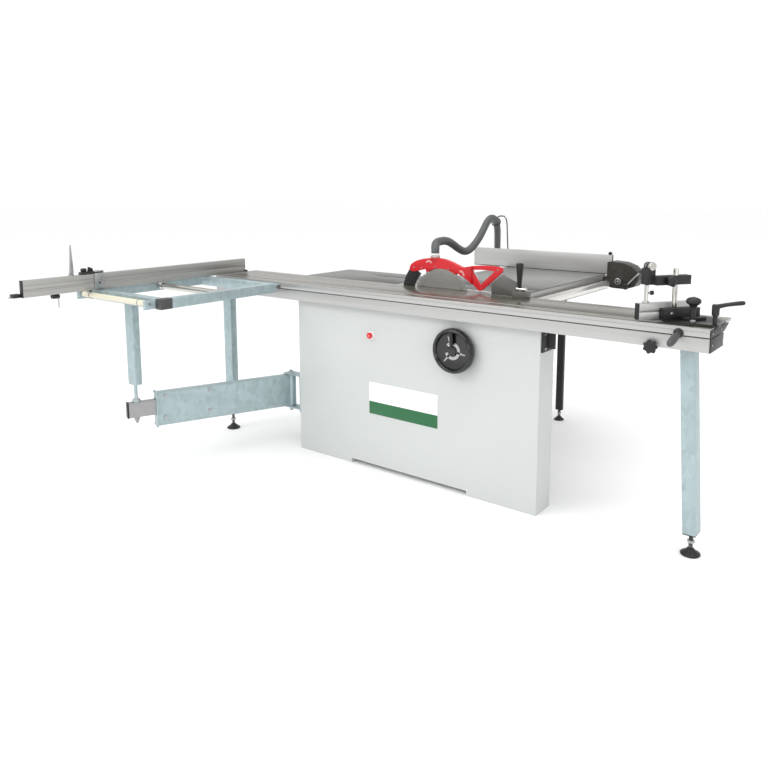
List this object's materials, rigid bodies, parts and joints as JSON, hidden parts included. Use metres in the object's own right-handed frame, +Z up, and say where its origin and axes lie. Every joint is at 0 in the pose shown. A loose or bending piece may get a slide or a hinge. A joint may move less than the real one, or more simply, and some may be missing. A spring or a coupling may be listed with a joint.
{
  "type": "panel saw",
  "caption": "Cabinet sliding table saw with tilting blade under a crescent guard, outrigger on a swing arm, crosscut, mitre and rip fences, and a dust hose.",
  "frame": {"origin": "on the floor, straight below the middle of the saw blade, on the underside of the rear cabinet", "axes": "+X along the sliding table towards the operator's end, +Y from the sliding table towards the rip fence, +Z up"},
  "size_m": [2.733, 2.6365, 1.1851],
  "materials": {
    "paint_grey": "satin powder coat",
    "galvanised": "zinc plated, slightly cloudy",
    "aluminium": "drawn profile, lengthwise lines",
    "cast_iron": "ground top",
    "dark_casting": "dark olive paint on a casting",
    "machine_grey": "dull machine grey",
    "steel": "ground steel",
    "sheet_steel": "ground plate",
    "chrome": "polished",
    "black_plastic": "moulded, slight sheen",
    "black_metal": "black paint",
    "red_plastic": "moulded",
    "roller_cream": "smooth tube",
    "grip_grey": "soft grip",
    "hose_grey": "ribbed flexible tube",
    "belt_black": "belt"
  },
  "bodies": {
    "base": {"base_cabinet": "paint_grey", "rear_cabinet": "paint_grey", "cast_iron_table": "cast_iron", "table_insert": "aluminium", "table_extension": "sheet_steel", "extension_leg": "black_metal", "scale_rail": "aluminium", "rail_bar": "chrome", "table_beam": "aluminium", "beam_end_cap": "black_plastic", "beam_bracket": "black_metal", "right_leg": "galvanised", "right_foot": "black_metal", "left_leg": "galvanised", "left_foot": "black_metal", "arm_bracket": "galvanised", "hose_holder": "chrome", "dust_hose": "hose_grey"},
    "stop_button": {"stop_button": "red_plastic"},
    "height_wheel": {"height_handwheel": "black_plastic"},
    "wheel_handle": {"handwheel_handle": "black_plastic"},
    "tilt_wheel": {"tilt_handwheel": "black_plastic"},
    "tilt_unit": {"tilt_trunnion": "cast_iron"},
    "lift_unit": {"lift_carriage": "cast_iron", "motor": "machine_grey", "riving_knife": "black_metal", "drive_belt": "belt_black"},
    "main_spindle": {"arbor": "steel", "saw_blade": "steel"},
    "motor_shaft": {"motor_pulley": "cast_iron"},
    "scoring_spindle": {"scoring_blade": "steel"},
    "guard": {"blade_guard": "red_plastic"},
    "table": {"sliding_table": "aluminium", "table_end_cap": "black_plastic", "push_grip": "grip_grey", "outrigger_frame": "galvanised", "outrigger_post": "galvanised"},
    "carriage": {"roller_carriage": "steel"},
    "outer_roller": {"outer_roller": "roller_cream"},
    "middle_roller": {"middle_roller": "chrome"},
    "crosscut": {"crosscut_fence": "aluminium"},
    "fence_clamp": {"fence_clamp_knob": "black_plastic"},
    "flip_stop": {"flip_stop": "steel"},
    "length_stop": {"length_stop": "dark_casting"},
    "mitre_slider": {"mitre_base": "dark_casting"},
    "mitre_knob": {"mitre_knob": "black_plastic"},
    "ratchet": {"ratchet_lever": "black_plastic"},
    "mitre_arm": {"mitre_fence": "aluminium", "clamp_pillar": "chrome"},
    "clamp_arm": {"clamp_arm": "black_metal"},
    "clamp_plunger": {"clamp_plunger": "steel"},
    "clamp_knob": {"clamp_knob": "black_plastic"},
    "edging_shoe": {"edging_shoe": "dark_casting"},
    "shoe_handle": {"shoe_handle": "black_plastic"},
    "rip_head": {"fence_head": "dark_casting"},
    "rip_plate": {"fence_plate": "aluminium"},
    "rip_lever": {"fence_lever": "black_plastic"},
    "lock_knob": {"table_lock_knob": "black_plastic"},
    "swing_arm": {"swing_arm": "galvanised"},
    "arm_beam": {"arm_inner_beam": "aluminium"}
  },
  "joints": [
    {"name": "stop_press", "type": "slide", "parent": "base", "child": "stop_button", "axis": [0, 1, 0], "range_m": [0, 0.005], "stiffness_N_per_m": 400},
    {"name": "blade_tilt", "type": "hinge", "parent": "base", "child": "tilt_unit", "pos_m": [0, 0, 0.87], "axis": [-1, 0, 0], "range_deg": [0, 45], "deforming": ["dust_hose"]},
    {"name": "blade_lift", "type": "slide", "parent": "tilt_unit", "child": "lift_unit", "axis": [0, 0, 1], "range_m": [-0.065, 0], "deforming": ["dust_hose"]},
    {"name": "blade_spin", "type": "hinge", "parent": "lift_unit", "child": "main_spindle", "pos_m": [0, 0, 0.8125], "axis": [0, 1, 0], "continuous": true},
    {"name": "motor_spin", "type": "hinge", "parent": "lift_unit", "child": "motor_shaft", "pos_m": [0.06, 0, 0.64], "axis": [0, 1, 0], "continuous": true},
    {"name": "scoring_spin", "type": "hinge", "parent": "tilt_unit", "child": "scoring_spindle", "pos_m": [0.211, 0, 0.827], "axis": [0, 1, 0], "continuous": true},
    {"name": "guard_pivot", "type": "hinge", "parent": "lift_unit", "child": "guard", "pos_m": [-0.155, 0, 0.96], "axis": [0, -1, 0], "range_deg": [0, 10.25], "deforming": ["dust_hose"]},
    {"name": "height_turn", "type": "hinge", "parent": "base", "child": "height_wheel", "pos_m": [0.257, -0.262, 0.652], "axis": [0, 1, 0], "range_deg": [-932, 0]},
    {"name": "handle_fold", "type": "hinge", "parent": "height_wheel", "child": "wheel_handle", "pos_m": [0.257, -0.3095, 0.722], "axis": [-1, 0, 0], "range_deg": [0, 90]},
    {"name": "tilt_turn", "type": "hinge", "parent": "base", "child": "tilt_wheel", "pos_m": [0.3, 0.088, 0.56], "axis": [1, 0, 0], "range_deg": [0, 2160]},
    {"name": "table_slide", "type": "slide", "parent": "base", "child": "table", "axis": [1, 0, 0], "range_m": [-1.3, 1.3]},
    {"name": "carriage_slide", "type": "slide", "parent": "base", "child": "carriage", "axis": [1, 0, 0], "range_m": [-0.65, 0.65]},
    {"name": "outer_roller_spin", "type": "hinge", "parent": "table", "child": "outer_roller", "pos_m": [-1.07, -1.062, 0.85], "axis": [1, 0, 0], "continuous": true},
    {"name": "middle_roller_spin", "type": "hinge", "parent": "table", "child": "middle_roller", "pos_m": [-1.05, -0.662, 0.85], "axis": [1, 0, 0], "continuous": true},
    {"name": "crosscut_turn", "type": "hinge", "parent": "table", "child": "crosscut", "pos_m": [-1.267, -0.282, 0.873], "axis": [0, 0, 1], "range_deg": [-45, 25]},
    {"name": "fence_clamp_turn", "type": "hinge", "parent": "crosscut", "child": "fence_clamp", "pos_m": [-1.291, -1.217, 0.86], "axis": [0, 0, 1], "range_deg": [0, 360]},
    {"name": "flip_stop_turn", "type": "hinge", "parent": "crosscut", "child": "flip_stop", "pos_m": [-1.253, -1.152, 0.95], "axis": [0, 1, 0], "range_deg": [0, 90]},
    {"name": "length_stop_slide", "type": "slide", "parent": "crosscut", "child": "length_stop", "axis": [0, 1, 0], "range_m": [-0.03, 0.75]},
    {"name": "mitre_slide", "type": "slide", "parent": "table", "child": "mitre_slider", "axis": [1, 0, 0], "range_m": [-0.6, 0]},
    {"name": "mitre_turn", "type": "hinge", "parent": "mitre_slider", "child": "mitre_arm", "pos_m": [1.203, -0.167, 0.88], "axis": [0, 0, 1], "range_deg": [-55, 20]},
    {"name": "mitre_knob_turn", "type": "hinge", "parent": "mitre_slider", "child": "mitre_knob", "pos_m": [1.225, -0.242, 0.9], "axis": [0, 0, 1], "range_deg": [0, 360]},
    {"name": "ratchet_turn", "type": "hinge", "parent": "mitre_slider", "child": "ratchet", "pos_m": [1.3, -0.242, 0.9], "axis": [0, 0, 1], "range_deg": [-90, 90]},
    {"name": "clamp_swing", "type": "hinge", "parent": "mitre_arm", "child": "clamp_arm", "pos_m": [1.14536, -0.19717, 1.01], "axis": [0, 0, 1], "range_deg": [-60, 60]},
    {"name": "clamp_press", "type": "slide", "parent": "clamp_arm", "child": "clamp_plunger", "axis": [0, 0, 1], "range_m": [0, 0.02]},
    {"name": "clamp_knob_turn", "type": "hinge", "parent": "clamp_arm", "child": "clamp_knob", "pos_m": [1.1415, -0.24452, 1.018], "axis": [-0.8192, 0.5736, 0], "range_deg": [0, 360]},
    {"name": "shoe_slide", "type": "slide", "parent": "table", "child": "edging_shoe", "axis": [1, 0, 0], "range_m": [-0.5, 0.3]},
    {"name": "shoe_handle_turn", "type": "hinge", "parent": "edging_shoe", "child": "shoe_handle", "pos_m": [0.437, -0.046, 0.96], "axis": [0, 0, 1], "range_deg": [0, 360]},
    {"name": "rip_slide", "type": "slide", "parent": "base", "child": "rip_head", "axis": [0, 1, 0], "range_m": [-0.9, 0]},
    {"name": "rip_plate_slide", "type": "slide", "parent": "rip_head", "child": "rip_plate", "axis": [1, 0, 0], "range_m": [-0.3, 0]},
    {"name": "rip_lever_turn", "type": "hinge", "parent": "rip_head", "child": "rip_lever", "pos_m": [0.555, 0.92, 0.825], "axis": [0, 1, 0], "range_deg": [0, 60]},
    {"name": "lock_knob_turn", "type": "hinge", "parent": "base", "child": "lock_knob", "pos_m": [1.108, -0.322, 0.789], "axis": [0, 1, 0], "range_deg": [0, 360]},
    {"name": "arm_swing", "type": "hinge", "parent": "base", "child": "swing_arm", "pos_m": [-0.79, -0.237, 0.3], "axis": [0, 0, 1], "range_deg": [-50, 70]},
    {"name": "arm_extend", "type": "slide", "parent": "swing_arm", "child": "arm_beam", "axis": [-0.3891, -0.9212, 0], "range_m": [0, 0.45]}
  ],
  "couplings": [
    {"joint": "motor_spin", "follows": "blade_spin", "ratio": 0.7778},
    {"joint": "guard_pivot", "follows": "blade_lift", "rad_per_m": -2.75},
    {"joint": "height_turn", "follows": "blade_lift", "rad_per_m": 250},
    {"joint": "tilt_turn", "follows": "blade_tilt", "ratio": 48},
    {"joint": "carriage_slide", "follows": "table_slide", "ratio": 0.5}
  ]
}
